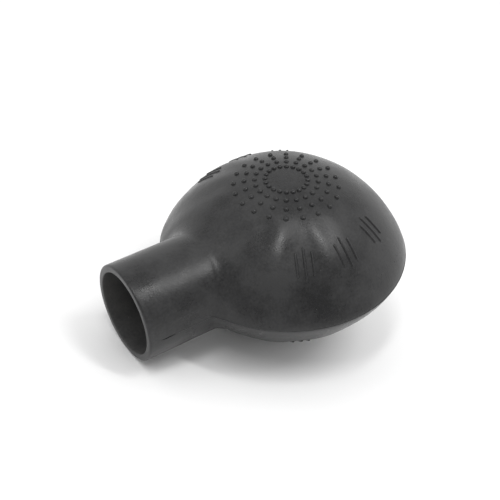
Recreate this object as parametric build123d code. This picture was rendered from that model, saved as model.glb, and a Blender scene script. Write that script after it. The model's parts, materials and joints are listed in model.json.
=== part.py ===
from build123d import *
import math
import os

# Squeeze bulb of a dust blower: a lens-shaped rubber bulb with an open tubular neck.
#
# The bulb is drawn in its mould frame: the centre of the bulb at the origin, the two
# crowns on the Z axis and the neck along -X, in the parting plane.  rest_pose() then
# lays the finished bulb down on its lower crown and on the rim of the neck, +Z up.

# ---------------------------------------------------------------- driving dimensions, mm
BULB_R = 35.0          # radius at the parting line
HALF_HEIGHT = 23.4     # parting plane to the outside of a crown
CROWN_POWER = 2.344    # larger gives a flatter crown
SHOULDER_POWER = 1.219  # larger gives a fuller shoulder
WALL = 2.0             # rubber thickness at the crowns
SEAM_WALL = 2.6        # rubber thickness at the parting line
LAND = 0.25            # half height of the upright strip along the parting line

NECK_R = 13.75         # outside of the neck
BORE_R = 11.7          # inside of the neck
NECK_REACH = 51.8      # centre of the bulb to the face of the neck's rim
LIP_LENGTH = 1.2       # stretch of the neck that carries the rounded rim
LIP_ROUND = 0.7        # rounding of the rim
ROOT_START = 34.5      # centre of the bulb to where the neck's sleeve becomes its root
ROOT_R = 16.2          # patch of the bulb around the neck that stays stiff

BAND_HALF = 3.0        # half height of the stiff band along the parting line
PAD_R = 17.5           # radius of the crown that a thumb or finger presses
PAD_GAP = 0.1          # clearance between a crown and the wall around it

DOT_R = 0.75           # grip dots are spherical caps of this radius
DOT_SINK = 0.1         # how far a dot's centre lies below the surface
DOT_SPOKES = 20        # dots in each ring
DOT_RINGS = (5.8, 8.65, 11.55, 14.4)

BEAD_PROUD = 0.25      # how far the parting bead stands out of the bulb
NECK_BEAD_WIDTH = 0.5
NECK_BEAD_PROUD = 0.2

RIB_RADIUS = 24.9      # bulb axis to the middle of each rib group
RIB_BEARINGS = (66.0, 94.0, 122.0)  # bearing of the groups from the neck, degrees
RIB_LENGTHS = (5.0, 7.0, 5.0)       # plan length of the bars of one group
RIB_PITCH = 2.2
RIB_WIDTH = 0.7
RIB_PROUD = 0.4

FAR = 200.0            # larger than the whole bulb, for cutting blocks


# ---------------------------------------------------------------- outline of the bulb
def dome_height(r, radius=BULB_R, height=HALF_HEIGHT):
    """Height of a dome above the parting plane at the distance r from its axis."""
    fall = min(r / radius, 1.0) ** CROWN_POWER
    return LAND + (height - LAND) * (1.0 - fall) ** (1.0 / SHOULDER_POWER)


def lens(radius, height):
    """A solid of two equal domes, joined by an upright strip at the parting plane."""
    stations = (0.0, 0.16, 0.32, 0.48, 0.62, 0.74, 0.84, 0.91, 0.96, 0.99, 1.0)
    upper = [(s * radius, dome_height(s * radius, radius, height)) for s in stations]
    lower = [(x, -z) for x, z in upper]
    with BuildSketch(Plane.XZ) as half:
        with BuildLine():
            Spline(*upper)
            Spline(*lower)
            Line(upper[-1], lower[-1])
            Line(upper[0], lower[0])
        make_face()
    return revolve(half.sketch, axis=Axis.Z)


def x_cylinder(radius, x_from, x_to):
    """A cylinder about the X axis between two stations."""
    length = x_to - x_from
    middle = (x_from + x_to) / 2
    return Pos(middle, 0, 0) * Rot(0, 90, 0) * Cylinder(radius, length)


def z_cylinder(radius, z_from, z_to):
    """A cylinder about the Z axis between two heights."""
    return Pos(0, 0, (z_from + z_to) / 2) * Cylinder(radius, z_to - z_from)


def half_space(sign, offset):
    """Everything above offset (sign 1) or below -offset (sign -1)."""
    return Pos(0, 0, sign * (offset + FAR / 2)) * Box(FAR, FAR, FAR)


# ---------------------------------------------------------------- the moulded rubber wall
def moulding():
    """The whole rubber wall in one solid, from which each zone is cut."""
    outside = lens(BULB_R, HALF_HEIGHT) + x_cylinder(NECK_R, -NECK_REACH, -BULB_R / 2)
    chamber = lens(BULB_R - SEAM_WALL, HALF_HEIGHT - WALL)
    bore = x_cylinder(BORE_R, -NECK_REACH - 1.0, -BULB_R / 2)
    return outside - chamber - bore


def neck_patch():
    """The space of the neck and of the stiff patch around its root."""
    return x_cylinder(ROOT_R, -NECK_REACH - 1.0, -BULB_R / 2)


def mouth_lip():
    """Rounded rim at the open end of the neck."""
    ring = x_cylinder(NECK_R, -NECK_REACH, -NECK_REACH + LIP_LENGTH)
    ring -= x_cylinder(BORE_R, -NECK_REACH, -NECK_REACH + LIP_LENGTH)
    face_edges = ring.edges().group_by(Axis.X)[0]
    return fillet(face_edges, LIP_ROUND)


def neck_sleeve(rubber):
    """Straight tube that grips the nozzle or the tool pushed into it."""
    return rubber & x_cylinder(ROOT_R, -NECK_REACH + LIP_LENGTH, -ROOT_START)


def neck_root(rubber):
    """Stiff patch where the neck runs into the two halves of the bulb."""
    return rubber & x_cylinder(ROOT_R, -ROOT_START, -BULB_R / 2)


def seam_band(rubber):
    """Stiff band where the two halves are vulcanised together."""
    slab = Box(FAR, FAR, 2 * BAND_HALF)
    return (rubber & slab) - neck_patch()


def flexing_wall(rubber, sign):
    """The wall of one half, which rolls inwards when its crown is pressed."""
    hole = z_cylinder(PAD_R + PAD_GAP / 2, -FAR / 2, FAR / 2)
    return (rubber & half_space(sign, BAND_HALF)) - neck_patch() - hole


def pressed_crown(rubber, sign):
    """The middle of one half, which a thumb or finger presses inwards."""
    disc = z_cylinder(PAD_R - PAD_GAP / 2, 0, FAR / 2)
    if sign < 0:
        disc = mirror(disc, Plane.XY)
    return rubber & disc


# ---------------------------------------------------------------- relief on the rubber
def grip_dots(crown_body):
    """Sunburst of dots on the upper crown: equal spokes, the middle left smooth."""
    dots = []
    for ring in DOT_RINGS:
        centre = Pos(-ring, 0, dome_height(ring) - DOT_SINK)
        dot = centre * Sphere(DOT_R) - crown_body
        for spoke in range(DOT_SPOKES):
            dots.append(Rot(0, 0, spoke * 360.0 / DOT_SPOKES) * dot)
    return Compound(children=dots)


def rib_marks(side):
    """Three groups of short raised bars on one flank of the upper half."""
    relief = lens(BULB_R + RIB_PROUD, HALF_HEIGHT + RIB_PROUD) - lens(BULB_R, HALF_HEIGHT)
    bars = []
    for bearing in RIB_BEARINGS:
        for i, length in enumerate(RIB_LENGTHS):
            offset = (i - (len(RIB_LENGTHS) - 1) / 2) * RIB_PITCH
            outline = Pos(-RIB_RADIUS, offset, 0) * SlotOverall(length, RIB_WIDTH)
            prism = extrude(outline, HALF_HEIGHT + 2 * RIB_PROUD)
            bars.append(Rot(0, 0, side * bearing) * prism & relief)
    return Compound(children=bars)


def equator_bead():
    """Bead of rubber squeezed out along the parting line, open where the neck stands."""
    ring = z_cylinder(BULB_R + BEAD_PROUD, -LAND, LAND)
    ring -= z_cylinder(BULB_R, -LAND, LAND)
    return ring - neck_patch()


def neck_bead(side):
    """Fine bead along one side of the neck, where the two halves of the mould meet."""
    start = -NECK_REACH + LIP_LENGTH
    length = -ROOT_START - start
    strip = Pos(start + length / 2, side * NECK_R, 0)
    strip *= Box(length, 2 * NECK_BEAD_PROUD, NECK_BEAD_WIDTH)
    return strip - x_cylinder(NECK_R, -NECK_REACH, -BULB_R / 2)


# ---------------------------------------------------------------- the rest pose
def rest_tilt():
    """Angle, in degrees, by which the neck dips when the bulb lies on dots and rim."""
    lip_x = NECK_REACH - LIP_ROUND
    lip_drop = NECK_R - LIP_ROUND
    tilts = []
    for ring in DOT_RINGS:
        run = lip_x - ring
        rise = dome_height(ring) - DOT_SINK - lip_drop
        spread = math.asin((DOT_R - LIP_ROUND) / math.hypot(run, rise))
        tilts.append(math.degrees(math.atan2(rise, run) + spread))
    return max(tilts)


def rest_pose(nodes):
    """Lay the bulb down, with the middle of its footprint at the origin."""
    laid = {name: Rot(0, -rest_tilt(), 0) * shape for name, shape in nodes.items()}
    boxes = [shape.bounding_box() for shape in laid.values()]
    middle_x = (min(box.min.X for box in boxes) + max(box.max.X for box in boxes)) / 2
    shift = Pos(-middle_x, 0, -min(box.min.Z for box in boxes))
    return {name: shift * shape for name, shape in laid.items()}


def build_nodes():
    """Every piece of the bulb by name, in the mould frame."""
    rubber = moulding()
    upper_crown = pressed_crown(rubber, 1)
    upper_dots = grip_dots(upper_crown)
    front_ribs = rib_marks(1)
    back_ribs = rib_marks(-1)
    return {
        "mouth_lip": mouth_lip(),
        "neck_sleeve": neck_sleeve(rubber),
        "neck_root": neck_root(rubber),
        "seam_band": seam_band(rubber),
        "upper_wall": flexing_wall(rubber, 1),
        "lower_wall": flexing_wall(rubber, -1),
        "upper_thumb_pad": upper_crown,
        "lower_finger_pad": pressed_crown(rubber, -1),
        "upper_grip_dots": upper_dots,
        "lower_grip_dots": mirror(upper_dots, Plane.XY),
        "upper_front_ribs": front_ribs,
        "upper_back_ribs": back_ribs,
        "lower_front_ribs": mirror(front_ribs, Plane.XY),
        "lower_back_ribs": mirror(back_ribs, Plane.XY),
        "equator_bead": equator_bead(),
        "neck_bead_front": neck_bead(-1),
        "neck_bead_back": neck_bead(1),
    }


def main():
    """Write one STEP file for each piece, in the rest pose."""
    os.makedirs("parts", exist_ok=True)
    for name, shape in rest_pose(build_nodes()).items():
        export_step(shape, f"parts/{name}.step")


main()
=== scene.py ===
"""Looks of a rubber squeeze bulb for blowing dust: a lens-shaped bulb with an open neck.

The bulb is moulded in two equal halves. It is drawn in its mould frame (centre of the bulb
at the origin, crowns on Z, neck along -X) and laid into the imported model's frame, in metres.
"""

from __future__ import annotations

import json
import logging
import math
from dataclasses import dataclass
from enum import Enum
from typing import Any, Iterable

import bpy
import numpy as np
from mathutils import Matrix, Vector

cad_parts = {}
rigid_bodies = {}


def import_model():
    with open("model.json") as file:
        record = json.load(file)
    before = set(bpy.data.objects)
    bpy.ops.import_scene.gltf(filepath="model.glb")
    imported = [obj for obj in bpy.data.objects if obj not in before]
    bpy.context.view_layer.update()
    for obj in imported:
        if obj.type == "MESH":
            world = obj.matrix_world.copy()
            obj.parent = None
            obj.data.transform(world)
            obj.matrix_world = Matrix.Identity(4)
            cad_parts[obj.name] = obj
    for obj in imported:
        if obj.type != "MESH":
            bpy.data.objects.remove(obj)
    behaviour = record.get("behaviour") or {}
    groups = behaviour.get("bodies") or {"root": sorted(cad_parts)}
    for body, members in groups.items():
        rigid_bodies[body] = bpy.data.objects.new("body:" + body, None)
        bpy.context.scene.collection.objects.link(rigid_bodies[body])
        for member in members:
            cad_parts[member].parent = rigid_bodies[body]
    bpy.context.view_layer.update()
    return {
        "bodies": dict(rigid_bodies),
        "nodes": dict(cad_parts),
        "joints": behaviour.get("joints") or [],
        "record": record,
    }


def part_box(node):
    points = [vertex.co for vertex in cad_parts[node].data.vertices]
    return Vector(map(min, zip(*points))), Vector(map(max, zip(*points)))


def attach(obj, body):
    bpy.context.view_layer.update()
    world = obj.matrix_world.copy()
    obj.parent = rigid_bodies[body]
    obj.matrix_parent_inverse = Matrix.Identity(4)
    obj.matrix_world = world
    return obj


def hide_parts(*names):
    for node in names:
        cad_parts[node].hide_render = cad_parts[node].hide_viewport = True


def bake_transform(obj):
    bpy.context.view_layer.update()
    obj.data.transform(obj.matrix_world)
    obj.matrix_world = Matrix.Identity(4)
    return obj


LOG = logging.getLogger("squeeze_bulb")
MM = 0.001
TINY = 1e-9
SEED = 7
Array = np.ndarray
Material = bpy.types.Material
Piece = bpy.types.Object
Tree = bpy.types.NodeTree
Colour = tuple[float, float, float]
Faces = list[tuple[int, ...]]


class Side(Enum):
    """One of a pair of sides; its value is its sign."""

    @property
    def word(self) -> str:
        """The side's name as piece names use it."""
        return self.name.lower()


class Half(Side):
    """The two halves of the mould, by the sign of their crown on the mould's Z axis."""

    UPPER = 1
    LOWER = -1


class Flank(Side):
    """The two flanks of the bulb, by the sign of the bearing of their rib marks."""

    FRONT = 1
    BACK = -1


# --- places and outlines
@dataclass(frozen=True)
class MouldFrame:
    """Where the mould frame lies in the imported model.

    Attributes:
        centre: Centre of the bulb.
        pole: Unit vector from the centre through the upper crown.
        neck: Unit vector from the centre out through the neck.
    """

    centre: Vector
    pole: Vector
    neck: Vector

    @classmethod
    def from_frame(cls, frame: dict[str, Any]) -> MouldFrame:
        """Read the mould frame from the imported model.


        Returns:
            The frame whose centre is midway between the two crowns.
        """
        crowns = [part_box(name) for name in ("upper_thumb_pad", "lower_finger_pad")]
        corners = [corner for crown in crowns for corner in crown]
        centre = sum(corners, Vector()) / len(corners)
        squeeze = next(j for j in frame["joints"] if j["name"] == "upper_squeeze")
        bore = next(m for m in frame["record"]["mounts"] if m["name"] == "neck_bore")
        return cls(centre, -Vector(squeeze["axis"]), Vector(bore["axis"]))

    def matrix(self) -> Matrix:
        """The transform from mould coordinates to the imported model's coordinates."""
        x_axis = -self.neck
        y_axis = self.pole.cross(x_axis)
        turn = Matrix((x_axis, y_axis, self.pole)).transposed().to_4x4()
        return Matrix.Translation(self.centre) @ turn

    def place(self, points: Array) -> Array:
        """Move points, an array of shape (n, 3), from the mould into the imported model."""
        matrix = np.array(self.matrix())
        return points @ matrix[:3, :3].T + matrix[:3, 3]

    def height(self, above: float) -> Vector:
        """The point of the pole axis at a height above the parting plane."""
        return self.centre + self.pole * above


@dataclass(frozen=True)
class BulbOutline:
    """Outside of one half of the bulb with its neck, as a distance from the neck's axis.

    Attributes:
        radius: Radius at the parting line.
        half_height: Parting plane to crown.
        crown_power: Larger is flatter on top.
        shoulder_power: Larger is fuller in the shoulder.
        land: Height of the upright strip along the parting line, on each half.
        neck_radius: Outside radius of the neck.
        neck_end: Where the neck meets its rim, as a distance from the bulb's centre.
        root_blend: Depth over which neck and bulb run into each other.
        bisections: Halvings in the search for the dome's surface.
    """

    radius: float = 35.0 * MM
    half_height: float = 23.4 * MM
    crown_power: float = 2.344
    shoulder_power: float = 1.219
    land: float = 0.25 * MM
    neck_radius: float = 13.75 * MM
    neck_end: float = 50.6 * MM
    root_blend: float = 3.0 * MM
    bisections: int = 46

    def stations(self, start: float, on_neck: int, on_dome: int) -> Array:
        """Stations along the neck's axis up to the far end, dense on the dome's ends.

        Args:
            start: Distance of the first one from the bulb's centre.
            on_neck: How many lie before the dome.
            on_dome: How many lie on it.

        Returns:
            Their places on the X axis.
        """
        neck = np.linspace(-start, -self.radius, on_neck, endpoint=False)
        dome = -self.radius * np.cos(np.linspace(0, math.pi, on_dome))
        return np.concatenate([neck, dome])

    def dome_reach(self, x: Array, phi: Array) -> Array:
        """Distance from the neck's axis to the dome.

        Args:
            x: Stations along the neck's axis.
            phi: Angles about that axis, 0 and pi in the parting plane.

        Returns:
            Reach for every pair, of shape (len(phi), len(x)), 0 beyond the dome.
        """
        station, angle = np.meshgrid(x, phi)
        low = np.zeros_like(station)
        high = np.full_like(station, self.radius)
        for _ in range(self.bisections):
            middle = (low + high) / 2
            across = np.hypot(station, middle * np.cos(angle)) / self.radius
            up = np.maximum(middle * np.sin(angle) - self.land, 0.0)
            rise = up / (self.half_height - self.land)
            outside = across**self.crown_power + rise**self.shoulder_power > 1.0
            high = np.where(outside, middle, high)
            low = np.where(outside, low, middle)
        return low

    def reach(self, x: Array, phi: Array) -> Array:
        """Distance from the neck's axis to the bulb or the neck, run into each other.

        Args:
            x: Stations along the neck's axis.
            phi: Angles about that axis.

        Returns:
            Reach for every pair, of shape (len(phi), len(x)).
        """
        dome = self.dome_reach(x, phi)
        near = np.maximum(self.root_blend - np.abs(dome - self.neck_radius), 0.0)
        joined = np.maximum(dome, self.neck_radius) + near**2 / self.root_blend / 4
        return np.where(x[None, :] < 0, joined, dome)


@dataclass(frozen=True)
class Unevenness:
    """Slow swells of soft rubber between crown and parting line.

    Attributes:
        depth: Height of the regular swells.
        swells: How many there are around the pole.
        first: Bearing of one of them from the neck, in radians.
        fading: Bearings between which they die out towards the far end, in radians.
        stray: Height of the irregular ones.
        waves: Their two wave numbers, in radians per metre.
        phases: Where the slower of them start, in radians.
        fast_share: Height of the faster against the slower.
        crown: Distances from the pole between which all of them rise.
        root: The same from the neck's axis, on the neck's side.
        seam: The same from the parting plane.
    """

    depth: float = 0.11 * MM
    swells: int = 13
    first: float = math.radians(50.0)
    fading: tuple[float, float] = (math.radians(82.0), math.radians(112.0))
    stray: float = 0.04 * MM
    waves: tuple[float, float] = (190.0, 410.0)
    phases: tuple[float, float] = (1.3, 0.4)
    fast_share: float = 0.5
    crown: tuple[float, float] = (13.0 * MM, 19.0 * MM)
    root: tuple[float, float] = (16.5 * MM, 21.5 * MM)
    seam: tuple[float, float] = (0.3 * MM, 6.0 * MM)

    @staticmethod
    def _ease(value: Array, start: float, end: float) -> Array:
        """Rise smoothly from 0 at start to 1 at end."""
        t = np.clip((value - start) / (end - start), 0.0, 1.0)
        return t * t * (3 - 2 * t)

    def _shift(self, x: Array, y: Array, z: Array) -> Array:
        """How far the points at these coordinates move outwards."""
        bearing = np.arctan2(np.abs(y), -x)
        free = np.where(x < 0, self._ease(np.hypot(y, z), *self.root), 1.0)
        band = self._ease(np.hypot(x, y), *self.crown) * self._ease(np.abs(z), *self.seam) * free
        present = 1.0 - self._ease(bearing, *self.fading)
        swell = self.depth * present * np.cos(self.swells * (bearing - self.first))
        (low, high), (ahead, aside) = self.waves, self.phases
        slow = np.sin(low * x + ahead) * np.sin(low * y + aside)
        fast = self.fast_share * np.sin(high * (y + z))
        return (swell + self.stray * (slow + fast)) * band

    def apply(self, points: Array, outline: BulbOutline) -> Array:
        """Swell points of the dome outwards and inwards.

        Args:
            points: Points on the outside, in mould coordinates.
            outline: The shape they lie on.

        Returns:
            The moved points.
        """
        x, y, z = points.T
        r = np.maximum(np.hypot(x, y), TINY)
        out = r / outline.radius
        up = np.maximum(np.abs(z), TINY) / outline.half_height
        steep_r = outline.crown_power * out ** (outline.crown_power - 1) / outline.radius
        steep_z = outline.shoulder_power * up ** (outline.shoulder_power - 1) / outline.half_height
        normal = np.stack([steep_r * x / r, steep_r * y / r, steep_z * np.sign(z)], -1)
        normal /= np.linalg.norm(normal, axis=1, keepdims=True)
        return points + normal * self._shift(x, y, z)[:, None]


@dataclass(frozen=True)
class Dimple:
    """Heights where a half folds in when its crown is pressed; attach only bakes a piece in place.

    Attributes:
        still: Height over the parting plane up to which the wall stays. Not used.
        moving: Height from which the wall moves with the crown. Not used.
    """

    still: float = 13.9 * MM
    moving: float = 20.5 * MM

    def attach(self, piece: Piece, half: Half, mould: MouldFrame) -> None:
        """Bake a piece's transform into its mesh."""
        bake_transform(piece)


# --- meshes
def link(name: str, data: Any) -> Piece:
    """Put a mesh, lamp or camera into the scene as an object at the origin."""
    item = bpy.data.objects.new(name, data)
    bpy.context.scene.collection.objects.link(item)
    return item


def new_piece(name: str, points: Array, faces: Iterable[Iterable[int]]) -> Piece:
    """Make a smooth-shaded mesh object at the origin.

    Args:
        name: Piece name.
        points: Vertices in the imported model's frame, shape (n, 3).
        faces: Vertex indices of each face.

    Returns:
        The linked object.
    """
    mesh = bpy.data.meshes.new(name)
    mesh.from_pydata(points.tolist(), [], [list(face) for face in faces])
    mesh.validate()
    mesh.shade_smooth()
    return link(name, mesh)


def lattice(rows: int, columns: int, loops: bool = True, ring: bool = False) -> Faces:
    """Quads between neighbouring rows of vertices.

    Args:
        rows: Number of rows.
        columns: Number of vertices in a row.
        loops: Whether each row is a closed loop.
        ring: Whether the last row joins the first.

    Returns:
        The faces, with vertex i of row r at index r * columns + i.
    """
    faces: Faces = []
    for row in range(rows if ring else rows - 1):
        here, there = row * columns, (row + 1) % rows * columns
        for i in range(columns if loops else columns - 1):
            j = (i + 1) % columns
            faces.append((here + i, there + i, there + j, here + j))
    return faces


def circle(segments: int) -> Array:
    """Points of a unit circle in the XY plane, each once, of shape (segments, 2)."""
    turn = np.linspace(0, 2 * math.pi, segments, endpoint=False)
    return np.stack([np.cos(turn), np.sin(turn)], -1)


# --- node trees
class Graph:
    """A thin hand for building node trees of any kind.

    Attributes:
        tree: The tree being built.
        given: Sockets of a group's inputs, by name.
    """

    def __init__(self, tree: Tree) -> None:
        """Start on a tree and clear what it holds."""
        self.tree = tree
        self.given: Any = {}
        tree.nodes.clear()

    @classmethod
    def group(cls, name: str, result: str, inputs: dict[str, Any]) -> Graph:
        """Start a node group.

        Args:
            name: Group name.
            result: Name of its output; Geometry starts a geometry tree, others a shader's.
            inputs: Socket name, and its default number or the name of its type.

        Returns:
            The graph, with its sockets in place.
        """
        kind, output = ("Geometry", "Geometry") if result == "Geometry" else ("Shader", "Float")
        graph = cls(bpy.data.node_groups.new(name, f"{kind}NodeTree"))
        new_socket = graph.tree.interface.new_socket
        for label, value in inputs.items():
            word = value if isinstance(value, str) else type(value).__name__.capitalize()
            socket = new_socket(label, in_out="INPUT", socket_type=f"NodeSocket{word}")
            if not isinstance(value, str):
                socket.default_value = value
        new_socket(result, in_out="OUTPUT", socket_type=f"NodeSocket{output}")
        graph.given = graph.add("NodeGroupInput").outputs
        return graph

    @classmethod
    def material(cls, name: str) -> tuple[Material, Graph]:
        """Start a material and return it with its graph."""
        material = bpy.data.materials.new(name)
        material.use_nodes = True
        return material, cls(material.node_tree)

    def surface(self, height: Any, relief: float, inputs: dict[str, Any]) -> None:
        """End a material.

        Args:
            height: Height of the surface's texture.
            relief: Metres that a height of 1 stands for.
            inputs: Inputs of the shader.
        """
        bump = self.out("ShaderNodeBump", {"Height": height, "Distance": relief})
        shader = self.out("ShaderNodeBsdfPrincipled", inputs | {"Normal": bump})
        self.add("ShaderNodeOutputMaterial", {"Surface": shader})

    def close(self, result: str, value: Any) -> Tree:
        """Link a value to the group's output and return the tree."""
        self.add("NodeGroupOutput", {result: value})
        return self.tree

    def close_shape(self, geometry: Any) -> Tree:
        """End a geometry tree: real meshes, smooth shading and the given material."""
        real = self.out("GeometryNodeRealizeInstances", {"Geometry": geometry})
        smooth = self.out("GeometryNodeSetShadeSmooth", {"Geometry": real})
        dressing = {"Geometry": smooth, "Material": self.given["Material"]}
        return self.close("Geometry", self.out("GeometryNodeSetMaterial", dressing))

    def add(self, kind: str, inputs: dict[Any, Any] | None = None, **settings: Any) -> bpy.types.Node:
        """Add a node.

        Args:
            kind: Blender's name of the node type.
            inputs: Socket name or number, and a value or an output to link to it.
            **settings: Attributes of the node.

        Returns:
            The new node.
        """
        node = self.tree.nodes.new(kind)
        for key, value in settings.items():
            setattr(node, key, value)
        for key, value in (inputs or {}).items():
            if isinstance(value, bpy.types.NodeSocket):
                self.tree.links.new(value, node.inputs[key])
            else:
                node.inputs[key].default_value = value
        return node

    def out(self, kind: str, inputs: dict[Any, Any] | None = None, **settings: Any) -> Any:
        """Add a node and return its first output."""
        return self.add(kind, inputs, **settings).outputs[0]

    def math(self, operation: str, *values: Any) -> Any:
        """Add a Math node and return its output."""
        return self.out("ShaderNodeMath", dict(enumerate(values)), operation=operation)

    def combine(self, x: Any = 0.0, y: Any = 0.0, z: Any = 0.0) -> Any:
        """Make a vector of three values."""
        return self.out("ShaderNodeCombineXYZ", {0: x, 1: y, 2: z})

    def scaled(self, vector: Any, factor: Any) -> Any:
        """Multiply a vector by a value."""
        return self.out("ShaderNodeVectorMath", {0: vector, "Scale": factor}, operation="SCALE")

    def noise(self, vector: Any, scale: Any, detail: float = 2.0, **more: Any) -> Any:
        """Add a Noise Texture and return its value."""
        inputs = {"Vector": vector, "Scale": scale, "Detail": detail} | more
        return self.out("ShaderNodeTexNoise", inputs)

    def remap(self, value: Any, low: float, high: float, to: tuple[float, float] = (0.0, 1.0)) -> Any:
        """Map a value from a range to another, clamped, and return the output."""
        inputs = {"Value": value, "From Min": low, "From Max": high}
        inputs |= {"To Min": to[0], "To Max": to[1]}
        return self.out("ShaderNodeMapRange", inputs)

    def mix(self, share: Any, one: Any, other: Any) -> Any:
        """Blend from one colour to the other and return the colour."""
        inputs = {0: share, 6: one, 7: other}
        return self.add("ShaderNodeMix", inputs, data_type="RGBA").outputs[2]

    def instances(self, points: Any, shape: Any, **more: Any) -> Any:
        """Put a shape on every point and return the instances."""
        inputs = {"Points": points, "Instance": shape} | more
        return self.out("GeometryNodeInstanceOnPoints", inputs)

    def shape_of(self, item: Any) -> Any:
        """Geometry of an object that is given to the tree."""
        return self.add("GeometryNodeObjectInfo", {"Object": item}).outputs["Geometry"]

    def stored(self, geometry: Any, name: str, value: Any, kind: str) -> tuple[Any, Any]:
        """Store a value on every point; return the geometry and the value read back."""
        inputs = {"Geometry": geometry, "Name": name, "Value": value}
        kept = self.out("GeometryNodeStoreNamedAttribute", inputs, data_type=kind, domain="POINT")
        return kept, self.out("GeometryNodeInputNamedAttribute", {"Name": name}, data_type=kind)


# --- shader effects
class RubberEffects:
    """Surface effects of moulded rubber, each a node group for the finishes to use."""

    def __init__(self) -> None:
        """Build every group once."""
        self.grain = self._grain()
        self.bloom = self._bloom()
        self.rubs = self._rubs()
        self.specks = self._specks()
        self.slit = self._slit()

    @staticmethod
    def _grain() -> Tree:
        """Skin of the mould: blasted grain over a faint peel and slow waves."""
        inputs = {"Vector": "Vector", "Grain Scale": 2600.0, "Pit Ratio": 0.35, "Pit Share": 0.6}
        inputs |= {"Peel Scale": 340.0, "Peel Share": 2.0, "Wave Scale": 85.0, "Wave Share": 4.0}
        graph = Graph.group("MouldGrain", "Height", inputs)
        given = graph.given
        where = given["Vector"]
        fine = graph.noise(where, given["Grain Scale"], 3.0)
        pit_scale = graph.math("MULTIPLY", given["Grain Scale"], given["Pit Ratio"])
        pitted = graph.out(
            "ShaderNodeTexVoronoi", {"Vector": where, "Scale": pit_scale}, feature="SMOOTH_F1"
        )
        slow = graph.noise(where, given["Wave Scale"], 1.0)
        peel = graph.noise(where, given["Peel Scale"])
        pits = graph.math("MULTIPLY_ADD", pitted, given["Pit Share"], fine)
        skin = graph.math("MULTIPLY_ADD", peel, given["Peel Share"], pits)
        waves = graph.math("MULTIPLY", slow, given["Wave Share"])
        return graph.close("Height", graph.math("ADD", skin, waves))

    @staticmethod
    def _bloom() -> Tree:
        """Cloudy, slightly lighter film that comes to the surface of rubber."""
        inputs = {"Vector": "Vector", "Cloud Scale": 70.0, "Speckle Scale": 1500.0}
        inputs |= {"Speckle Share": 0.3, "Middle": 0.65, "Contrast": 0.25}
        graph = Graph.group("RubberBloom", "Mask", inputs)
        given = graph.given
        cloud = graph.noise(given["Vector"], given["Cloud Scale"], 5.0, Roughness=0.62)
        speckle = graph.noise(given["Vector"], given["Speckle Scale"])
        mixed = graph.math("MULTIPLY_ADD", speckle, given["Speckle Share"], cloud)
        centred = graph.math("SUBTRACT", mixed, given["Middle"])
        spread = graph.math("DIVIDE", centred, given["Contrast"])
        mask = graph.out("ShaderNodeMath", {0: spread, 1: 0.5}, operation="ADD", use_clamp=True)
        return graph.close("Mask", mask)

    @staticmethod
    def _rubs() -> Tree:
        """Long faint rub marks, drawn out along the local X direction of the vector."""
        inputs = {"Vector": "Vector", "Line Scale": 900.0, "Patch Scale": 120.0}
        graph = Graph.group("RubMarks", "Mask", inputs | {"Stretch": 9.0, "Amount": 0.5})
        given = graph.given
        squeeze = graph.combine(graph.math("DIVIDE", 1.0, given["Stretch"]), 1.0, 1.0)
        drawn = graph.out(
            "ShaderNodeVectorMath", {0: given["Vector"], 1: squeeze}, operation="MULTIPLY"
        )
        line_edges, patch_edges = (0.60, 0.72), (0.48, 0.62)
        thin = graph.remap(graph.noise(drawn, given["Line Scale"], 4.0), *line_edges)
        where = graph.remap(graph.noise(given["Vector"], given["Patch Scale"]), *patch_edges)
        both = graph.math("MULTIPLY", thin, where)
        return graph.close("Mask", graph.math("MULTIPLY", both, given["Amount"]))

    @staticmethod
    def _specks() -> Tree:
        """Tiny scattered specks: dust on the rubber and pinholes in it."""
        inputs = {"Vector": "Vector", "Scale": 700.0, "Size": 0.07, "Bare Share": 0.90}
        graph = Graph.group("Specks", "Mask", inputs)
        given = graph.given
        cells = graph.add(
            "ShaderNodeTexVoronoi", {"Vector": given["Vector"], "Scale": given["Scale"]}
        ).outputs
        chance = graph.out("ShaderNodeSeparateColor", {0: cells["Color"]})
        chosen = graph.math("GREATER_THAN", chance, given["Bare Share"])
        inside = graph.math("LESS_THAN", cells["Distance"], given["Size"])
        return graph.close("Mask", graph.math("MULTIPLY", chosen, inside))

    @staticmethod
    def _slit() -> Tree:
        """Mask of a short open slit in the parting line, on the front of the neck by its mouth; the
        finish dips it and fills it with painted shade.
        """
        inputs = {"Vector": "Vector", "Middle": -46.3 * MM, "Half Length": 2.4 * MM}
        inputs |= {"Half Width": 0.16 * MM, "Wobble": 0.9 * MM, "Wobble Scale": 420.0}
        graph = Graph.group("PartingSlit", "Mask", inputs)
        given = graph.given
        place = graph.add("ShaderNodeSeparateXYZ", {0: given["Vector"]}).outputs
        wobble = graph.noise(given["Vector"], given["Wobble Scale"])
        stray = graph.math("MULTIPLY", graph.math("SUBTRACT", wobble, 0.5), given["Wobble"])
        off_middle = graph.math("ABSOLUTE", graph.math("SUBTRACT", place[0], given["Middle"]))
        run = graph.math("DIVIDE", off_middle, given["Half Length"])
        taper = graph.math("SUBTRACT", 1.0, graph.math("POWER", run, 2.0))
        width = graph.math("MULTIPLY", given["Half Width"], taper)
        aside = graph.math("ABSOLUTE", graph.math("ADD", place[2], stray))
        inside = graph.math("LESS_THAN", aside, width)
        front = graph.math("LESS_THAN", place[1], 0.0)
        return graph.close("Mask", graph.math("MULTIPLY", inside, front))


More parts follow.
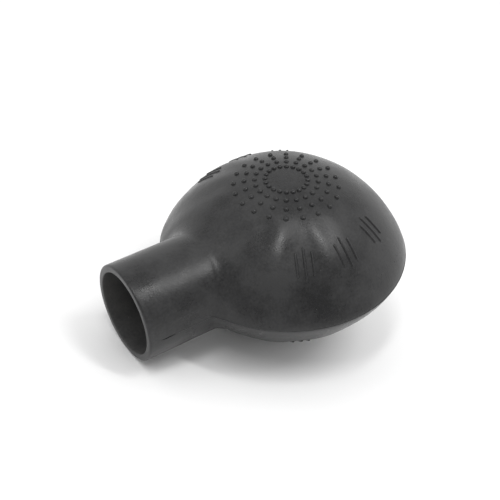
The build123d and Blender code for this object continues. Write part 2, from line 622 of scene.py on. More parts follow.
# --- finishes
@dataclass(frozen=True)
class RubberFinish:
    """A finish of black moulded rubber.

    Attributes:
        name: Material name.
        base: Colour of the clean rubber.
        bloomed: Colour where the film has come up.
        roughness: Least and greatest roughness.
        relief: Height of the surface texture, in metres.
        wave_share: Weight of the slow unevenness against the fine grain.
        rub_amount: Strength of the rub marks.
        worn_tops: How much lighter raised edges are, partly from wear and partly as a painted
            highlight.
        slit: Whether it shows the open slit of the parting line at the mouth, as a dip filled with
            painted shade.
        ior: Index of refraction.
        shine: Strength of the reflection.
        polish: How much smoother the rub marks are.
        dust: How much rougher the specks are.
        rub_light: How light the rub marks are, against the specks.
        speck_gain: How much lighter than the film the specks are.
        worn_edges: Pointiness from which raised edges start to lighten, and where they are lightest.
        slit_depth: Depth of the slit in heights of the surface texture.
        slit_colour: Painted shade inside the slit, a near-black colour standing in for the shade of
            the open slit.
    """

    name: str
    base: Colour
    bloomed: Colour
    roughness: tuple[float, float]
    relief: float
    wave_share: float
    rub_amount: float
    worn_tops: float = 0.0
    slit: bool = False
    ior: float = 1.52
    shine: float = 0.35
    polish: float = 0.12
    dust: float = 0.25
    rub_light: float = 0.35
    speck_gain: float = 2.2
    worn_edges: tuple[float, float] = (0.52, 0.62)
    slit_depth: float = 6.0
    slit_colour: Colour = (0.002, 0.002, 0.002)

    def material(self, effects: RubberEffects, mould: MouldFrame) -> Material:
        """Build the material.

        Args:
            effects: The surface effects.
            mould: Sets the direction of the rub marks, along the neck.

        Returns:
            The finished material.
        """
        material, graph = Graph.material(self.name)
        place = graph.add("ShaderNodeTexCoord").outputs["Object"]
        back = mould.matrix().inverted()
        turned = {"Location": back.to_translation(), "Rotation": back.to_euler()}
        along = {"Vector": graph.out("ShaderNodeMapping", {"Vector": place} | turned)}
        group = "ShaderNodeGroup"
        height = graph.out(group, along | {"Wave Share": self.wave_share}, node_tree=effects.grain)
        bloom = graph.out(group, along, node_tree=effects.bloom)
        rubs = graph.out(group, along | {"Amount": self.rub_amount}, node_tree=effects.rubs)
        specks = graph.out(group, along, node_tree=effects.specks)
        colour = self._colour(graph, bloom, rubs, specks)
        shine: Any = self.shine
        if self.slit:
            slit = graph.out(group, along, node_tree=effects.slit)
            # Painted shade: the slit is mixed to a near-black colour, standing in for the shade
            # inside the open slit.
            colour = graph.mix(slit, colour, (*self.slit_colour, 1))
            height = graph.math("MULTIPLY_ADD", slit, -self.slit_depth, height)
            # Painted shade: the slit's reflection is taken away as well, so that it stays dark.
            shine = graph.math("MULTIPLY_ADD", slit, -self.shine, self.shine)
        rough = graph.remap(bloom, 0.0, 1.0, self.roughness)
        smoothed = graph.math("MULTIPLY_ADD", rubs, -self.polish, rough)
        dusty = graph.math("MULTIPLY_ADD", specks, self.dust, smoothed)
        inputs = {"Base Color": colour, "Roughness": dusty, "Specular IOR Level": shine}
        graph.surface(height, self.relief, inputs | {"IOR": self.ior})
        return material

    def _colour(self, graph: Graph, bloom: Any, rubs: Any, specks: Any) -> Any:
        """Lay bloom, rub marks, specks and lighter raised edges over the base colour; the edges are
        partly wear and partly painted highlight.

        Args:
            graph: The material's tree.
            bloom: Mask of the film.
            rubs: Mask of the rub marks.
            specks: Mask of the specks.

        Returns:
            The colour's socket.
        """
        film = graph.mix(bloom, (*self.base, 1), (*self.bloomed, 1))
        light = (*(min(1.0, self.speck_gain * c) for c in self.bloomed), 1)
        marks = graph.math("MAXIMUM", graph.math("MULTIPLY", rubs, self.rub_light), specks)
        colour = graph.mix(marks, film, light)
        if not self.worn_tops:
            return colour
        # Partly wear, partly painted highlight: raised edges and tops are lightened by their
        # pointiness.
        ridge = graph.add("ShaderNodeNewGeometry").outputs["Pointiness"]
        wear_and_highlight = graph.remap(ridge, *self.worn_edges, (0.0, self.worn_tops))
        return graph.mix(wear_and_highlight, colour, light)


SATIN = RubberFinish(
    name="satin_rubber",
    base=(0.009, 0.009, 0.0095),
    bloomed=(0.027, 0.027, 0.0275),
    roughness=(0.26, 0.40),
    relief=0.02 * MM,
    wave_share=7.0,
    rub_amount=0.5,
    slit=True,
)
# Finish of the raised dots, bars and bead; its raised edges are lighter, partly wear and partly
# painted highlight.
WEAR_AND_HIGHLIGHT = RubberFinish(
    name="worn_rubber",
    base=(0.009, 0.009, 0.0095),
    bloomed=(0.020, 0.020, 0.0205),
    roughness=(0.30, 0.42),
    relief=0.015 * MM,
    wave_share=1.0,
    rub_amount=0.3,
    worn_tops=0.25,
)
# Painted light: a lighter, rougher copy of the black rubber for the chamber and the bore, standing in
# for the light that reaches inside the neck.
PAINTED_LIGHT_INSIDE = RubberFinish(
    name="chalky_rubber",
    base=(0.030, 0.030, 0.031),
    bloomed=(0.062, 0.061, 0.059),
    roughness=(0.55, 0.72),
    relief=0.03 * MM,
    wave_share=2.0,
    rub_amount=0.1,
)


@dataclass(frozen=True)
class PaperFinish:
    """Matt white of the table.

    Attributes:
        white: Its colour.
        tooth: Height of the paper's texture.
        grain: Scale of that texture.
        roughness: Roughness.
        shine: Strength of the reflection.
    """

    white: Colour = (0.93, 0.93, 0.93)
    tooth: float = 0.02 * MM
    grain: float = 900.0
    roughness: float = 0.85
    shine: float = 0.2

    def material(self) -> Material:
        """Build the material, with a paper's faint tooth."""
        material, graph = Graph.material("white_paper")
        height = graph.noise(graph.add("ShaderNodeTexCoord").outputs["Object"], self.grain)
        inputs = {"Base Color": (*self.white, 1), "Roughness": self.roughness}
        graph.surface(height, self.tooth, inputs | {"Specular IOR Level": self.shine})
        return material


# --- sub-assemblies
@dataclass
class HalfShell:
    """One moulded half: dome, half of the neck and the wall behind them.

    Attributes:
        half: Which half.
        outline: Outside shape.
        mould: Where it lies.
        wall: Thickness of the rubber.
        uneven: Its slow swells.
        rows: Lines of vertices around the neck's axis.
        crowding: How much closer together the rows are at the parting line, 0 to 1.
        neck_columns: Vertices of a line from rim to root.
        dome_columns: Vertices of a line from root to the far end.
        grading: How much closer together they are at the root, 0 to 1.
        neck_stations: Stations at which the neck's reach is worked out.
        dome_stations: The same for the dome.
    """

    half: Half
    outline: BulbOutline
    mould: MouldFrame
    wall: float = 2.05 * MM
    uneven: Unevenness = Unevenness()
    rows: int = 150
    crowding: float = 0.75
    neck_columns: int = 46
    dome_columns: int = 170
    grading: float = 0.7
    neck_stations: int = 80
    dome_stations: int = 1600

    def _angles(self) -> Array:
        """Angles of the rows, closer together at the parting line."""
        even = np.linspace(-1, 1, self.rows)
        eased = np.sin(even * math.pi / 2)
        share = (1 - self.crowding) * even + self.crowding * eased
        return (share + 1) / 2 * math.pi

    def _line(self, x: Array, reach: Array) -> tuple[Array, Array]:
        """Space one row's vertices, closest together at the root of the neck.

        Args:
            x: Closely spaced stations.
            reach: Reach at each of them.

        Returns:
            Stations and reaches of the row's vertices, rim to far end.
        """
        run = np.concatenate([[0], np.cumsum(np.hypot(np.diff(x), np.diff(reach)))])
        root = run[np.argmax(reach > self.outline.neck_radius + self.outline.root_blend / 4)]
        u = np.linspace(0, 1, self.neck_columns)
        v = np.linspace(0, 1, self.dome_columns + 1)[1:]
        even = 1 - self.grading
        before = root * (even * u + self.grading * (1 - (1 - u) ** 2))
        after = root + (run[-1] - root) * (even * v + self.grading * v**2)
        where = np.concatenate([before, after])
        return np.interp(where, run, x), np.interp(where, run, reach)

    def build(self, skin: Material, inside: Material) -> Piece:
        """Make the half's outer sheet; Solidify gives it the wall, the seam and the bore.

        Args:
            skin: Finish of the outside.
            inside: Finish of the chamber and the bore, a lighter copy of the rubber that is painted
                light inside the neck.

        Returns:
            The shell, its wall still a live modifier.
        """
        outline, angles = self.outline, self._angles()
        stations = outline.stations(outline.neck_end, self.neck_stations, self.dome_stations)
        points = []
        for angle, reach in zip(angles, outline.reach(stations, angles)):
            x, s = self._line(stations, reach)
            up = self.half.value * s * math.sin(angle)
            points.append(np.stack([x, s * math.cos(angle), up], -1))
        grid = self.uneven.apply(np.concatenate(points), outline)
        columns = self.neck_columns + self.dome_columns
        piece = new_piece(
            f"{self.half.word}_shell",
            self.mould.place(np.delete(grid, self._spare(columns), axis=0)),
            self._faces(columns),
        )
        self._crease_border(piece)
        piece.data.materials.append(skin)
        piece.data.materials.append(inside)
        wall = piece.modifiers.new("wall", "SOLIDIFY")
        wall.thickness = self.wall
        wall.offset = -1.0
        wall.use_rim = True
        wall.material_offset = 1
        return piece

    def _spare(self, columns: int) -> Array:
        """Repeats of the first row's last vertex, the far end that all rows share."""
        return np.arange(2, self.rows + 1) * columns - 1

    def _faces(self, columns: int) -> Faces:
        """Faces of the sheet, triangles at the far end, numbered without the repeats."""
        far_end = columns - 1

        def kept(i: int) -> int:
            """A vertex's number once the repeats of the far end are gone."""
            return far_end if i % columns == far_end else i - max(i // columns - 1, 0)

        faces: Faces = []
        for a, b, c, d in lattice(self.rows, columns, loops=False):
            face = tuple(dict.fromkeys(map(kept, (a, d, c, b))))
            faces.append(face[::-1] if self.half is Half.UPPER else face)
        return faces

    @staticmethod
    def _crease_border(piece: Piece) -> None:
        """Mark the open border sharp, so that the wall's edge is shaded as an edge."""
        mesh = piece.data
        uses: dict[tuple[int, int], int] = {}
        for polygon in mesh.polygons:
            for key in polygon.edge_keys:
                uses[key] = uses.get(key, 0) + 1
        for edge in mesh.edges:
            edge.use_edge_sharp = uses.get(edge.key, 0) == 1

    def attach(self, piece: Piece, dimple: Dimple) -> None:
        """Bake the half in place and hide the imported parts that it stands for."""
        dimple.attach(piece, self.half, self.mould)
        crown = "thumb_pad" if self.half is Half.UPPER else "finger_pad"
        own = (f"{self.half.word}_wall", f"{self.half.word}_{crown}")
        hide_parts(*own, "seam_band", "neck_root", "neck_sleeve")


@dataclass
class MouthRim:
    """The rounded rim at the open end of the neck.

    Attributes:
        mould: Where it lies.
        outer: Outside radius.
        bore: Inside radius.
        face: Distance of the rim's face from the bulb's centre.
        length: Stretch of the neck that the rim takes.
        outer_round: Rounding of the face's outer edge.
        inner_round: Rounding of its inner edge.
        segments: Divisions around the neck.
        arc_points: Points of each rounding.
        crease: Angle between faces from which their edge is sharp, in radians.
    """

    mould: MouldFrame
    outer: float = 13.75 * MM
    bore: float = 11.7 * MM
    face: float = 51.8 * MM
    length: float = 1.2 * MM
    outer_round: float = 0.6 * MM
    inner_round: float = 0.3 * MM
    segments: int = 220
    arc_points: int = 9
    crease: float = math.radians(50)

    def _corner(self, radius: float, rounding: float, side: int) -> Array:
        """One rounded edge of the face.

        Args:
            radius: Radius of the wall it starts from.
            rounding: Radius of the rounding.
            side: 1 where the wall is outside, -1 where it is the bore.

        Returns:
            Points (radius, distance from the bulb's centre), from the wall to the face.
        """
        turn = np.linspace(0, math.pi / 2, self.arc_points)
        arc = rounding * np.stack([side * np.cos(turn), np.sin(turn)], -1)
        return np.array([radius - side * rounding, self.face - rounding]) + arc

    def build(self) -> Piece:
        """Turn the rim's closed outline about the neck's axis."""
        outer_arc = self._corner(self.outer, self.outer_round, 1)
        inner_arc = self._corner(self.bore, self.inner_round, -1)[::-1]
        back = self.face - self.length
        ends = np.array([[self.bore, back], [self.outer, back]])
        radius, out = np.concatenate([ends, outer_arc, inner_arc]).T
        across, up = circle(self.segments).T
        y, z = up[:, None] * radius, across[:, None] * radius
        points = np.stack([np.broadcast_to(-out, y.shape), y, z], -1).reshape(-1, 3)
        faces = lattice(self.segments, len(radius), ring=True)
        piece = new_piece("mouth_rim", self.mould.place(points), faces)
        piece.data.set_sharp_from_angle(angle=self.crease)
        return piece

    def dress(self, piece: Piece, skin: Any, inside: Any) -> None:
        """Give the bore's side the inner finish and the rest the outer one."""
        piece.data.materials.append(skin)
        piece.data.materials.append(inside)
        middle = self.bore + self.inner_round / 2
        turned = self.mould.matrix().inverted()
        for polygon in piece.data.polygons:
            spot = turned @ polygon.center
            polygon.material_index = int(math.hypot(spot.y, spot.z) < middle)

    def attach(self, piece: Piece) -> None:
        """Let the rim ride with the bulb."""
        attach(piece, "bulb")
        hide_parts("mouth_lip")


def grow(name: str, host: Piece, tree: Tree, values: dict[str, Any]) -> Piece:
    """Run a geometry tree on a host and keep the result as a plain mesh.

    Args:
        name: Name of the finished piece.
        host: Object that carries the modifier; it is used up.
        tree: The geometry tree.
        values: Input names and values, the Material among them.

    Returns:
        The finished piece, at the origin.
    """
    modifier = host.modifiers.new("grow", "NODES")
    modifier.node_group = tree
    for socket in tree.interface.items_tree:
        if socket.name in values:
            modifier[socket.identifier] = values[socket.name]
    bpy.context.view_layer.update()
    depsgraph = bpy.context.evaluated_depsgraph_get()
    mesh = bpy.data.meshes.new_from_object(host.evaluated_get(depsgraph))
    mesh.materials.clear()
    mesh.materials.append(values["Material"])
    mesh.polygons.foreach_set("material_index", [0] * len(mesh.polygons))
    host.modifiers.remove(modifier)
    bpy.data.objects.remove(host)
    mesh.name = name
    return link(name, mesh)


@dataclass
class Relief:
    """What every raised pattern shares: it is laid out flat and dropped onto the skin.

    Attributes:
        mould: Where the bulb lies.
        half: Half that the pattern stands on.
        skin: Shell of that half.
        drop: Height over the parting plane from which it is dropped.
    """

    mould: MouldFrame
    half: Half
    skin: Piece
    drop: float = 40.0 * MM

    def group(self, name: str, inputs: dict[str, Any]) -> Graph:
        """Start a relief tree with the sockets that all of them have.

        Args:
            name: Rest of the tree's name, after the half's.
            inputs: Its own sockets, as Graph.group takes them.

        Returns:
            The graph.
        """
        shared = {"Geometry": "Geometry", "Skin": "Object", "Centre": "Vector"}
        shared |= {"Turn": "Rotation", "Down": "Vector", "Material": "Material", "Seed": SEED}
        return Graph.group(f"{self.half.word}_{name}", "Geometry", shared | inputs)

    def landing(self, graph: Graph, geometry: Any) -> tuple[Any, Any, Any]:
        """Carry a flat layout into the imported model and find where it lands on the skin.

        Args:
            graph: The tree.
            geometry: Layout in the mould's XY plane.

        Returns:
            Carried geometry, place of each hit and normal there.
        """
        given = graph.given
        move = {"Geometry": geometry, "Translation": given["Centre"], "Rotation": given["Turn"]}
        raised = graph.out("GeometryNodeTransform", move)
        ray = {"Target Geometry": graph.shape_of(given["Skin"]), "Ray Direction": given["Down"]}
        hit = graph.add("GeometryNodeRaycast", ray | {"Ray Length": 2 * self.drop}).outputs
        return raised, hit["Hit Position"], hit["Hit Normal"]

    def grow(self, name: str, pattern: Piece, tree: Tree, values: dict[str, Any]) -> Piece:
        """Grow the relief on the skin.

        Args:
            name: Rest of the piece's name, after the half's.
            pattern: Object that the tree repeats; it is used up.
            tree: The relief tree.
            values: Its own values; the shared ones are added.

        Returns:
            The finished piece.
        """
        shared = {
            "Skin": self.skin,
            "Centre": self.mould.height(self.half.value * self.drop),
            "Turn": self.mould.matrix().to_euler(),
            "Down": self.mould.pole * -self.half.value,
        }
        host = new_piece(f"{name}_host", np.zeros((0, 3)), [])
        piece = grow(f"{self.half.word}_{name}", host, tree, shared | values)
        bpy.data.objects.remove(pattern)
        return piece


@dataclass
class GripDots(Relief):
    """Sunburst of dots on a crown, its middle left smooth.

    Attributes:
        spokes: Dots in each ring.
        rings: Number of rings.
        first_ring: Radius of the inner ring.
        ring_pitch: Distance between rings.
        dot_radius: Radius of a dot at the skin.
        dot_height: How far a dot stands out.
        foot: Radius of the fillet around its foot.
        foot_sink: How deep that fillet reaches into the skin, against its radius.
        least: Smallest size of a dot against the plain one, along X, Y and Z.
        most: Largest size.
        segments: Divisions around a dot.
        cap_rings: Rings of vertices on it.
        foot_rings: Rings of vertices on its foot.
    """

    spokes: int = 20
    rings: int = 4
    first_ring: float = 5.8 * MM
    ring_pitch: float = 2.87 * MM
    dot_radius: float = 0.72 * MM
    dot_height: float = 0.62 * MM
    foot: float = 0.18 * MM
    foot_sink: float = 0.6
    least: tuple[float, float, float] = (0.95, 0.95, 0.88)
    most: tuple[float, float, float] = (1.05, 1.05, 1.06)
    segments: int = 20
    cap_rings: int = 6
    foot_rings: int = 3

    def _dot(self) -> Piece:
        """One dot with its foot, standing on the origin and closed below."""
        rise = np.linspace(0, math.pi / 2, self.cap_rings + 1)[1:]
        flare = np.linspace(0, math.pi / 2, self.foot_rings + 1)[1:]
        spread = self.dot_radius + self.foot * (1 - np.cos(flare))
        radius = np.concatenate([self.dot_radius * np.sin(rise), spread])
        sunk = -self.foot * np.sin(flare) * self.foot_sink
        height = np.concatenate([self.dot_height * np.cos(rise), sunk])
        unit = circle(self.segments)
        rings = [np.insert(r * unit, 2, z, axis=1) for r, z in zip(radius, height)]
        ends = [[0, 0, self.dot_height], [0, 0, height[-1]]]
        faces = lattice(len(rings), self.segments)
        top = len(rings) * self.segments
        last = top - self.segments
        for i in range(self.segments):
            j = (i + 1) % self.segments
            faces += [(top, i, j), (top + 1, last + j, last + i)]
        return new_piece("dot_pattern", np.concatenate([*rings, ends]), faces)

    def _tree(self) -> Tree:
        """Spokes of points, dropped onto the skin, each carrying a dot."""
        inputs = {"Dot": "Object", "Spokes": self.spokes, "Rings": self.rings}
        inputs |= {"First Ring": self.first_ring, "Ring Pitch": self.ring_pitch}
        graph = self.group("sunburst", inputs)
        given = graph.given
        start, step = graph.combine(given["First Ring"]), graph.combine(given["Ring Pitch"])
        line = {"Count": given["Rings"], "Start Location": start, "Offset": step}
        spoke = graph.out("GeometryNodeMeshLine", line)
        hub = graph.out("GeometryNodePoints", {"Count": given["Spokes"]})
        part = graph.math("DIVIDE", graph.out("GeometryNodeInputIndex"), given["Spokes"])
        turn = graph.combine(z=graph.math("MULTIPLY", part, 2 * math.pi))
        star = graph.instances(hub, spoke, Rotation=turn)
        points = graph.out("GeometryNodeRealizeInstances", {"Geometry": star})
        raised, place, normal = self.landing(graph, points)
        kept, upward = graph.stored(raised, "upward", normal, "FLOAT_VECTOR")
        landed = graph.out("GeometryNodeSetPosition", {"Geometry": kept, "Position": place})
        standing = graph.out("FunctionNodeAlignRotationToVector", {"Vector": upward}, axis="Z")
        size = {"Min": self.least, "Max": self.most, "Seed": given["Seed"]}
        dots = graph.instances(
            landed,
            graph.shape_of(given["Dot"]),
            Rotation=standing,
            Scale=graph.out("FunctionNodeRandomValue", size, data_type="FLOAT_VECTOR"),
        )
        return graph.close_shape(dots)

    def build(self, material: Material) -> Piece:
        """Grow the dots on the crown."""
        dot = self._dot()
        return self.grow("dots", dot, self._tree(), {"Dot": dot, "Material": material})

    def attach(self, piece: Piece) -> None:
        """Let the dots ride with the pressed crown."""
        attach(piece, f"{self.half.word}_pad")
        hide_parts(f"{self.half.word}_grip_dots")


@dataclass
class RibMarks(Relief):
    """Groups of short raised bars on one flank.

    Attributes:
        flank: Which flank.
        radius: Pole to the middle of a bar, in plan.
        first_bearing: Bearing of the first group from the neck, in degrees.
        bearing_step: Bearing between groups, in degrees.
        groups: Number of groups.
        bars: Bars in a group.
        pitch: Distance between bars.
        length: Plan length of a middle bar.
        shortening: How much shorter the next bar is, as a share of that.
        width: Width of a bar.
        proud: How far a bar stands out.
        sunk: How far its edges reach into the skin, as a share of that.
        keel: The same for its middle.
        crown_power: Smaller is squarer across.
        end_power: Smaller is squarer at the ends.
        across: Vertices across the top of a bar.
        along: Cross-sections along it.
        end: Where its last cross-section lies, as a share of half its length.
    """

    flank: Flank = Flank.FRONT
    radius: float = 24.9 * MM
    first_bearing: float = 66.0
    bearing_step: float = 28.0
    groups: int = 3
    bars: int = 3
    pitch: float = 2.2 * MM
    length: float = 7.0 * MM
    shortening: float = 0.28
    width: float = 0.85 * MM
    proud: float = 0.32 * MM
    sunk: float = 0.25
    keel: float = 0.3
    crown_power: float = 0.9
    end_power: float = 0.35
    across: int = 9
    along: int = 33
    end: float = 0.995

    def _bar(self) -> Piece:
        """One bar lying along X: a closed, rounded ridge with rounded ends."""
        half_length, rounded = self.length / 2, self.width / 2
        across = np.linspace(-1, 1, self.across)
        crown = np.cos(across * math.pi / 2) ** self.crown_power
        loops = []
        for x in np.linspace(-self.end, self.end, self.along) * half_length:
            past = max(abs(x) - (half_length - rounded), 0.0) / rounded
            left = 1 - past**2
            y = across * rounded * math.sqrt(left)
            z = self.proud * ((1 + self.sunk) * crown * left**self.end_power - self.sunk)
            top = np.stack([np.full(self.across, x), y, z], -1)
            loops.append(np.append(top, [[x, 0.0, -self.keel * self.proud]], axis=0))
        size = self.across + 1
        first = range(size)
        last = range((self.along - 1) * size, self.along * size)
        faces = [tuple(first), tuple(reversed(last)), *lattice(self.along, size)]
        if self.half is Half.LOWER:
            faces = [face[::-1] for face in faces]
        return new_piece("bar_pattern", np.concatenate(loops), faces)

    def _tree(self) -> Tree:
        """Rows of bars at each bearing, dropped point by point onto the skin."""
        inputs = {"Bar": "Object", "Groups": self.groups, "Bars": self.bars}
        inputs |= {"Radius": self.radius, "Pitch": self.pitch, "Shortening": self.shortening}
        inputs |= {"First Bearing": 0.0, "Bearing Step": 0.0}
        graph = self.group(f"{self.flank.word}_bars", inputs)
        given = graph.given
        last = graph.math("SUBTRACT", given["Bars"], 1.0)
        side = graph.math("MULTIPLY", graph.math("MULTIPLY", last, given["Pitch"]), -0.5)
        start = graph.combine(graph.math("MULTIPLY", given["Radius"], -1.0), side)
        line = {"Count": given["Bars"], "Start Location": start}
        row = graph.out("GeometryNodeMeshLine", line | {"Offset": graph.combine(y=given["Pitch"])})
        number = graph.out("GeometryNodeInputIndex")
        middle = graph.math("MULTIPLY", last, 0.5)
        off_middle = graph.math("ABSOLUTE", graph.math("SUBTRACT", number, middle))
        shorter = graph.math("MULTIPLY", off_middle, given["Shortening"])
        size = graph.combine(graph.math("SUBTRACT", 1.0, shorter), 1.0, 1.0)
        group = graph.instances(row, graph.shape_of(given["Bar"]), Scale=size)
        hub = graph.out("GeometryNodePoints", {"Count": given["Groups"]})
        bearing = graph.math("MULTIPLY_ADD", number, given["Bearing Step"], given["First Bearing"])
        every = graph.instances(hub, group, Rotation=graph.combine(z=bearing))
        real = graph.out("GeometryNodeRealizeInstances", {"Geometry": every})
        place = graph.out("GeometryNodeInputPosition")
        height = graph.add("ShaderNodeSeparateXYZ", {0: place}).outputs[2]
        kept, lift = graph.stored(real, "lift", height, "FLOAT")
        raised, place, normal = self.landing(graph, kept)
        landed = {"Geometry": raised, "Position": place, "Offset": graph.scaled(normal, lift)}
        return graph.close_shape(graph.out("GeometryNodeSetPosition", landed))

    def build(self, material: Material) -> Piece:
        """Grow the bars on the flank."""
        bar = self._bar()
        sign = self.flank.value
        values = {
            "Bar": bar,
            "First Bearing": math.radians(sign * self.first_bearing),
            "Bearing Step": math.radians(sign * self.bearing_step),
            "Material": material,
        }
        return self.grow(f"{self.flank.word}_marks", bar, self._tree(), values)

    def attach(self, piece: Piece, dimple: Dimple) -> None:
        """Bake the bars in place and hide the imported ribs that they stand for."""
        dimple.attach(piece, self.half, self.mould)
        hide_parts(f"{self.half.word}_{self.flank.word}_ribs")


@dataclass
class PartingFlash:
    """Thin irregular bead where the two halves of the mould met.

    Attributes:
        mould: Where it lies.
        outline: Shape of the bulb.
        thickness: Radius of the bead.
        sunk: How far the bead's middle lies under the skin of the bulb.
        sunk_neck: The same on the neck.
        sinking: Rise of the bulb from the neck over which it goes from one to the other.
        torn: Where the bead starts on the front side of the neck, from the bulb's centre.
        step: Spacing of the bead's rings along its path.
        wander: How far it strays from the parting plane.
        wander_scale: Scale of that.
        swell: How much its girth varies.
        swell_scale: Scale of that.
        neck_stations: Points of its path along one side of the neck.
        dome_stations: The same around one side of the dome.
    """

    mould: MouldFrame
    outline: BulbOutline
    thickness: float = 0.23 * MM
    sunk: float = 0.08 * MM
    sunk_neck: float = 0.17 * MM
    sinking: float = 4.0 * MM
    torn: float = 43.2 * MM
    step: float = 0.35 * MM
    wander: float = 0.12 * MM
    wander_scale: float = 90.0
    swell: float = 1.1
    swell_scale: float = 260.0
    neck_stations: int = 60
    dome_stations: int = 300

    def _side(self, start: float, sign: int) -> Array:
        """The parting line on one side, from a station on the neck to the far end."""
        x = self.outline.stations(start, self.neck_stations, self.dome_stations)
        reach = self.outline.reach(x, np.zeros(1))[0]
        on_dome = np.clip((reach - self.outline.neck_radius) / self.sinking, 0.0, 1.0)
        depth = self.sunk_neck + (self.sunk - self.sunk_neck) * on_dome
        return np.stack([x, sign * (reach - depth), np.zeros_like(x)], -1)

    def _path(self) -> Array:
        """The whole parting line in mould coordinates; it is torn off beside the slit."""
        near = self._side(self.torn, -1)
        far = self._side(self.outline.neck_end, 1)
        return np.concatenate([near, far[-2::-1]])

    def _tree(self) -> Tree:
        """A bead swept along the path, swelling, thinning and wandering a little."""
        inputs = {"Geometry": "Geometry", "Thickness": self.thickness, "Step": self.step}
        inputs |= {"Wander": "Vector", "Wander Scale": self.wander_scale, "Swell": self.swell}
        inputs |= {"Swell Scale": self.swell_scale, "Material": "Material", "Seed": float(SEED)}
        graph = Graph.group("flash_bead", "Geometry", inputs)
        given = graph.given
        curve = graph.out("GeometryNodeMeshToCurve", {0: given["Geometry"]})
        spacing = {"Curve": curve, "Length": given["Step"]}
        even = graph.out("GeometryNodeResampleCurve", spacing, mode="LENGTH")
        aside, lump = (
            graph.math(
                "SUBTRACT",
                graph.out(
                    "ShaderNodeTexNoise",
                    {"Scale": given[f"{word} Scale"], "Detail": 3.0, "W": given["Seed"]},
                    noise_dimensions="4D",
                ),
                0.5,
            )
            for word in ("Wander", "Swell")
        )
        moved = {"Geometry": even, "Offset": graph.scaled(given["Wander"], aside)}
        placed = graph.out("GeometryNodeSetPosition", moved)
        girth = graph.math("MULTIPLY_ADD", lump, given["Swell"], 1.0)
        swollen = graph.out("GeometryNodeSetCurveRadius", {"Curve": placed, "Radius": girth})
        girdle = {"Resolution": 8, "Radius": given["Thickness"]}
        profile = graph.out("GeometryNodeCurvePrimitiveCircle", girdle)
        sweep = {"Curve": swollen, "Profile Curve": profile, "Fill Caps": True}
        return graph.close_shape(graph.out("GeometryNodeCurveToMesh", sweep))

    def build(self, material: Material) -> Piece:
        """Sweep the bead along the parting line."""
        path = self.mould.place(self._path())
        mesh = bpy.data.meshes.new("flash_path")
        mesh.from_pydata(path.tolist(), [(i, i + 1) for i in range(len(path) - 1)], [])
        values = {"Wander": self.mould.pole * self.wander, "Material": material}
        return grow("parting_flash", link("flash_path", mesh), self._tree(), values)

    def attach(self, piece: Piece) -> None:
        """Let the bead ride with the bulb."""
        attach(piece, "bulb")
        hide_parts("equator_bead", "neck_bead_front", "neck_bead_back")


# --- studio
@dataclass(frozen=True)
class Softbox:
    """A soft rectangular lamp.

    Attributes:
        name: Lamp name.
        bearing: Direction it stands in, degrees from -Y towards +X.
        elevation: Degrees above the table.
        size: Width and height.
        power: Watts.
        distance: From the bulb.
    """

    name: str
    bearing: float
    elevation: float
    size: tuple[float, float]
    power: float
    distance: float = 0.8

    def build(self, target: Vector) -> None:
        """Hang the lamp and point it at the target."""
        data = bpy.data.lights.new(self.name, "AREA")
        data.shape = "RECTANGLE"
        data.size, data.size_y = self.size
        data.energy = self.power
        lamp = link(self.name, data)
        a, e = math.radians(self.bearing), math.radians(self.elevation)
        back = Vector((math.sin(a) * math.cos(e), -math.cos(a) * math.cos(e), math.sin(e)))
        lamp.location = target + back * self.distance
        lamp.rotation_mode = "QUATERNION"
        lamp.rotation_quaternion = (-back).to_track_quat("-Z", "Y")


SOFTBOXES = (
    Softbox("left_strip", bearing=-63.0, elevation=65.0, size=(0.08, 0.42), power=1.6),
    Softbox("right_strip", bearing=28.0, elevation=67.0, size=(0.08, 0.34), power=1.5),
    Softbox("side_strip", bearing=-104.0, elevation=36.0, size=(0.12, 0.40), power=0.3),
)


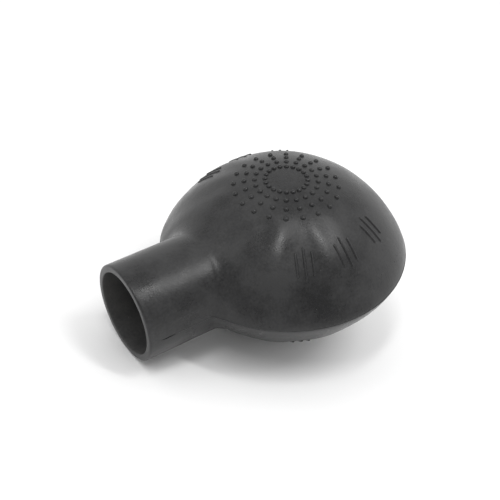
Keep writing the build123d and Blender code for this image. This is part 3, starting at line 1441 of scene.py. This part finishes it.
@dataclass
class Studio:
    """Table, lamps and camera.

    Attributes:
        mould: Where the bulb lies.
        azimuth: Camera's bearing from the neck in the mould frame, degrees.
        elevation: Camera's angle over the parting plane, degrees.
        roll: Turn of the camera about its view, degrees.
        distance: Camera to bulb, along the view.
        shift_right: Bulb's centre to the middle of the picture, to the right.
        shift_up: The same, upwards.
        lens: Focal length for the sensor, millimetres.
        clip: Nearest and farthest distance that the camera sees.
        sky: Brightness of the surroundings.
        viewer: Direction from the bulb to the viewer's side.
        viewer_side: Share of the brightness that is left there.
        viewer_edges: Where it begins to fade and has faded, as a cosine from the viewer.
        table_side: Half the side of the table.
    """

    mould: MouldFrame
    azimuth: float = 54.42
    elevation: float = 41.395
    roll: float = 1.634
    distance: float = 284.8 * MM
    shift_right: float = 9.38 * MM
    shift_up: float = 1.89 * MM
    lens: float = 71.5
    clip: tuple[float, float] = (0.01, 50.0)
    sky: float = 1.0
    viewer: tuple[float, float, float] = (-0.68, -0.73, 0.0)
    viewer_side: float = 0.46
    viewer_edges: tuple[float, float] = (-0.1, 0.95)
    table_side: float = 6.0

    def camera(self) -> None:
        """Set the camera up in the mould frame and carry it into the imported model."""
        a, e, r = (math.radians(v) for v in (self.azimuth, self.elevation, self.roll))
        back = Vector((-math.cos(a) * math.cos(e), -math.sin(a) * math.cos(e), math.sin(e)))
        level = Vector((math.sin(a), -math.cos(a), 0.0))
        upright = back.cross(level)
        right = level * math.cos(r) + upright * math.sin(r)
        top = upright * math.cos(r) - level * math.sin(r)
        place = back * self.distance - right * self.shift_right - top * self.shift_up
        data = bpy.data.cameras.new("camera")
        data.lens = self.lens
        data.clip_start, data.clip_end = self.clip
        camera = link("camera", data)
        turn = Matrix((right, top, back)).transposed().to_4x4()
        camera.matrix_world = self.mould.matrix() @ Matrix.Translation(place) @ turn
        bpy.context.scene.camera = camera

    def table(self) -> None:
        """Lay the white table under the bulb."""
        square = np.array([[-1, -1, 0], [1, -1, 0], [1, 1, 0], [-1, 1, 0]])
        table = new_piece("table", square * self.table_side, [(0, 1, 2, 3)])
        table.data.materials.append(PaperFinish().material())

    def lights(self) -> None:
        """White surroundings, dimmer on the viewer's side, and soft lamps."""
        world = bpy.data.worlds.new("studio")
        world.use_nodes = True
        graph = Graph(world.node_tree)
        direction = graph.add("ShaderNodeTexCoord").outputs["Generated"]
        facing = graph.add(
            "ShaderNodeVectorMath", {0: direction, 1: self.viewer}, operation="DOT_PRODUCT"
        ).outputs["Value"]
        strength = graph.remap(facing, *self.viewer_edges, (self.sky, self.sky * self.viewer_side))
        white = (1.0, 1.0, 1.0, 1.0)
        sky = graph.out("ShaderNodeBackground", {"Color": white, "Strength": strength})
        graph.add("ShaderNodeOutputWorld", {"Surface": sky})
        bpy.context.scene.world = world
        for box in SOFTBOXES:
            box.build(self.mould.centre)

    def build(self) -> None:
        """Make everything that isn't the bulb."""
        self.camera()
        self.table()
        self.lights()
        bpy.context.scene.view_settings.view_transform = "Standard"


def report(piece: Piece) -> None:
    """Log a finished piece."""
    LOG.info("%s: %d faces", piece.name, len(piece.data.polygons))


def main() -> None:
    """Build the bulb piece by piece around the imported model."""
    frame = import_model()
    mould = MouldFrame.from_frame(frame)
    Studio(mould).build()
    outline = BulbOutline()
    dimple = Dimple()
    effects = RubberEffects()
    skin, relief, inside = (rubber.material(effects, mould) for rubber in (SATIN, WEAR_AND_HIGHLIGHT, PAINTED_LIGHT_INSIDE))
    for half in Half:
        shell = HalfShell(half, outline, mould)
        body = shell.build(skin, inside)
        sunburst = GripDots(mould, half, body)
        dots = sunburst.build(relief)
        sunburst.attach(dots)
        report(dots)
        for flank in Flank:
            marks = RibMarks(mould, half, body, flank=flank)
            bars = marks.build(relief)
            marks.attach(bars, dimple)
            report(bars)
        shell.attach(body, dimple)
        report(body)
    rim = MouthRim(mould)
    lip = rim.build()
    rim.dress(lip, skin, inside)
    rim.attach(lip)
    report(lip)
    seam = PartingFlash(mould, outline)
    bead = seam.build(relief)
    seam.attach(bead)
    report(bead)


if __name__ == "__main__":
    logging.basicConfig(level=logging.INFO, format="%(message)s")
    main()
